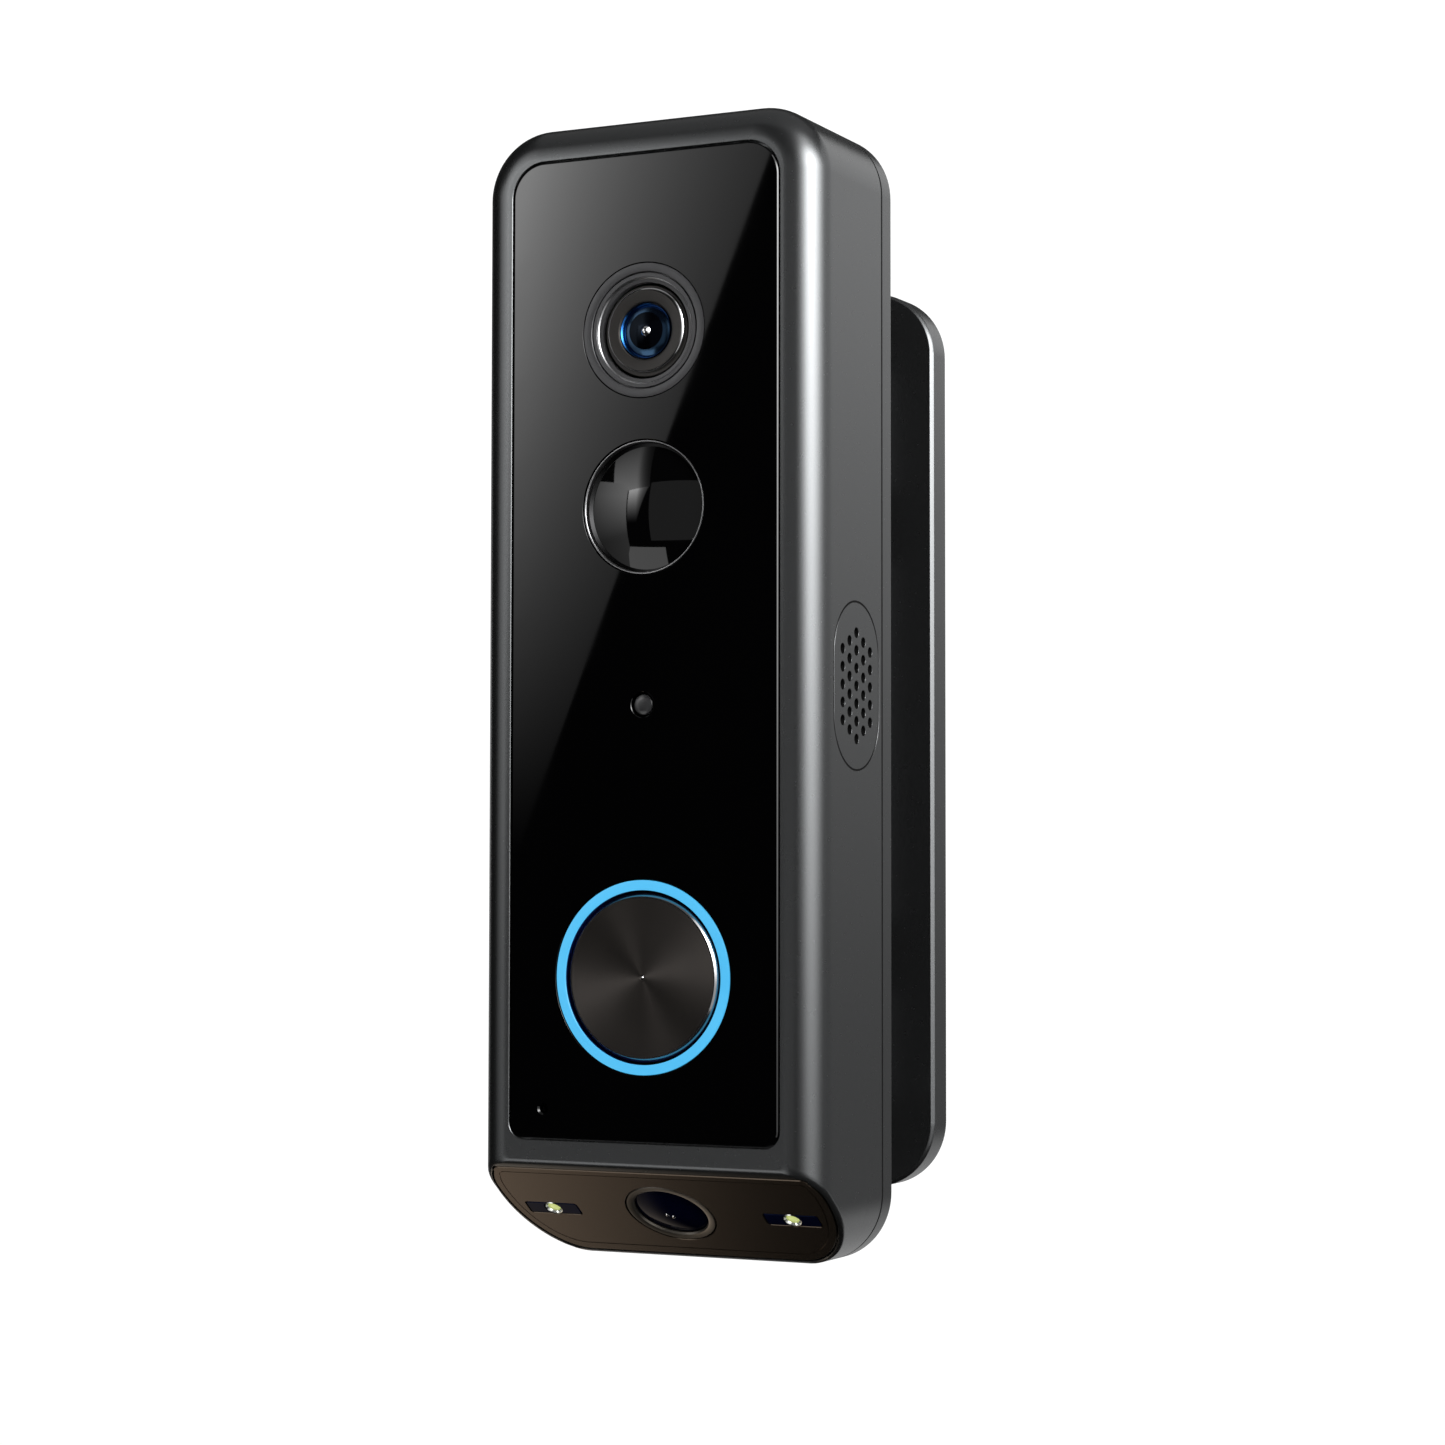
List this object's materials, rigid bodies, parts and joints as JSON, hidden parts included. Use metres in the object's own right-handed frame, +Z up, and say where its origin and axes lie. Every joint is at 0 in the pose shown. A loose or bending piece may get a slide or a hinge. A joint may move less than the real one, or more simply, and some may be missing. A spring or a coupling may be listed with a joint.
{
  "type": "video doorbell",
  "caption": "Slim upright battery video doorbell: glass front with camera, motion sensor and lit push button, slanted chin camera, side speaker, on a lift-off wall bracket.",
  "frame": {"origin": "centre of the wall plate's flat back face, which lies on the wall", "axes": "+Z up along the body, +Y into the wall, front glass faces -Y, +X to the right seen from the front"},
  "size_m": [0.05, 0.0432, 0.15],
  "materials": {
    "graphite_shell": "satin anodised graphite",
    "black_glass": "mirror-smooth black glass",
    "dark_metal": "dark anodised",
    "lens_glass": "coated lens glass with a blue cast",
    "circuit_board": "green solder mask",
    "polished_trim": "polished",
    "gloss_black": "gloss",
    "steel": "satin",
    "dark_plastic": "fine moulded texture",
    "chip_black": "moulded epoxy",
    "silicone": "matt silicone rubber",
    "ring_light": "lit translucent ring",
    "spun_metal": "concentric turned face, dark anodised",
    "led_white": "moulded",
    "copper_film": "thin film",
    "battery_wrap": "heat-shrink sleeve",
    "red_wire": "insulated lead",
    "brown_panel": "satin anodised warm graphite",
    "tinted_window": "dark tinted window",
    "led_yellow": "phosphor chip under a clear dome"
  },
  "bodies": {
    "bracket": {"wall_plate": "graphite_shell", "mount_block": "dark_plastic", "block_screw_1": "steel", "block_screw_2": "steel", "block_screw_3": "steel", "block_screw_4": "steel"},
    "doorbell": {"front_housing": "graphite_shell", "front_glass": "black_glass", "camera_bezel": "dark_metal", "camera_barrel": "dark_metal", "camera_lens": "lens_glass", "camera_board": "circuit_board", "pir_trim_ring": "polished_trim", "pir_lens": "gloss_black", "pir_sensor": "steel", "sensor_window": "dark_plastic", "light_sensor": "chip_black", "microphone": "steel", "microphone_boot": "silicone", "light_ring": "ring_light", "button_seal": "silicone", "button_switch": "chip_black", "ring_led_1": "led_white", "ring_led_2": "led_white", "ring_led_3": "led_white", "ring_led_4": "led_white", "main_board": "circuit_board", "processor_shield": "steel", "antenna": "copper_film", "battery_tray": "dark_plastic", "battery_pack": "battery_wrap", "battery_connector": "led_white", "battery_lead": "red_wire", "chin_panel": "brown_panel", "lower_camera_ring": "brown_panel", "lower_camera_lens": "lens_glass", "lower_camera_module": "chip_black", "led_window_left": "tinted_window", "led_window_right": "tinted_window", "led_left": "led_yellow", "led_right": "led_yellow", "led_board_left": "circuit_board", "led_board_right": "circuit_board", "speaker_grille": "graphite_shell", "speaker_gasket": "silicone", "speaker": "dark_plastic", "housing_seal": "silicone", "back_cover": "graphite_shell", "cover_screw_1": "steel", "cover_screw_2": "steel", "cover_screw_3": "steel", "cover_screw_4": "steel", "usb_board": "circuit_board", "usb_socket": "steel", "reset_switch": "chip_black"},
    "button": {"button_cap": "spun_metal"},
    "reset_plunger": {"reset_button": "dark_plastic"},
    "port_flap": {"port_cover": "silicone"}
  },
  "joints": [
    {"name": "doorbell_lift", "type": "slide", "parent": "bracket", "child": "doorbell", "axis": [0, 0, 1], "range_m": [0, 0.006]},
    {"name": "button_press", "type": "slide", "parent": "doorbell", "child": "button", "axis": [0, 1, 0], "range_m": [0, 0.0008], "stiffness_N_per_m": 800},
    {"name": "reset_press", "type": "slide", "parent": "doorbell", "child": "reset_plunger", "axis": [0, -1, 0], "range_m": [0, 0.0005], "stiffness_N_per_m": 500},
    {"name": "port_cover_hinge", "type": "hinge", "parent": "doorbell", "child": "port_flap", "pos_m": [0, -0.01858, 0.06002], "axis": [-1, 0, 0], "range_deg": [0, 95]}
  ]
}
